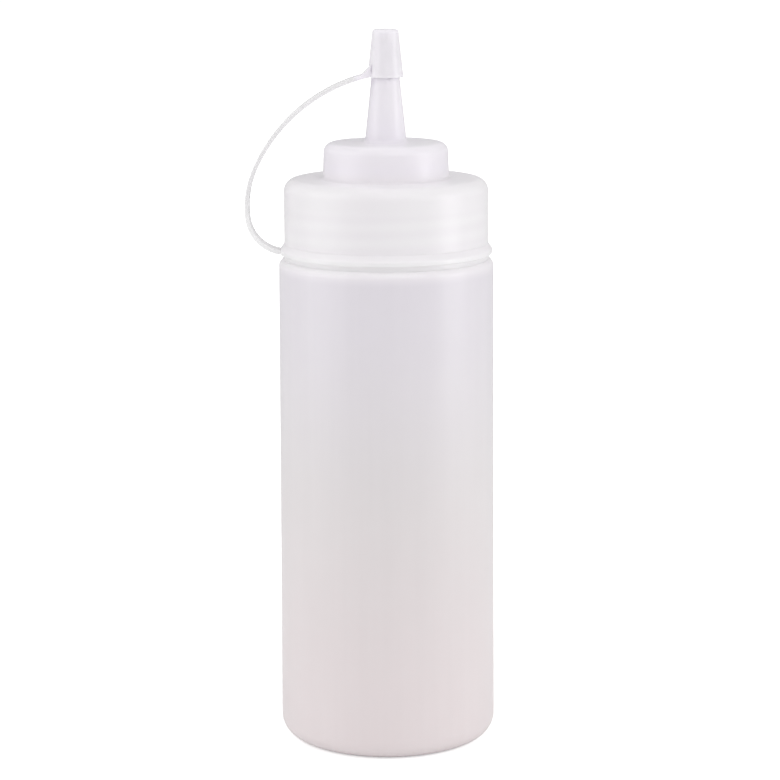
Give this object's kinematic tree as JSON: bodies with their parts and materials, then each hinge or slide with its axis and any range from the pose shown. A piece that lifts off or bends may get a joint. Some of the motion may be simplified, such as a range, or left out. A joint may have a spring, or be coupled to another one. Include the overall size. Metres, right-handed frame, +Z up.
{
  "type": "dressing squeeze bottle",
  "caption": "Empty wide-mouth squeeze bottle of natural LDPE with a one-piece screw lid: drum, conical nozzle, strap and tip cap.",
  "frame": {"origin": "centre of the ring on the underside that the bottle stands on", "axes": "+Z up along the bottle's axis; +Y away from the viewer of the picture; the strap's loop stands out on the -X side"},
  "size_m": [0.068, 0.0594, 0.1958],
  "materials": {
    "bottle_plastic": "satin",
    "lid_plastic": "satin"
  },
  "bodies": {
    "root": {"bottle": "bottle_plastic", "lid": "lid_plastic"}
  },
  "joints": []
}
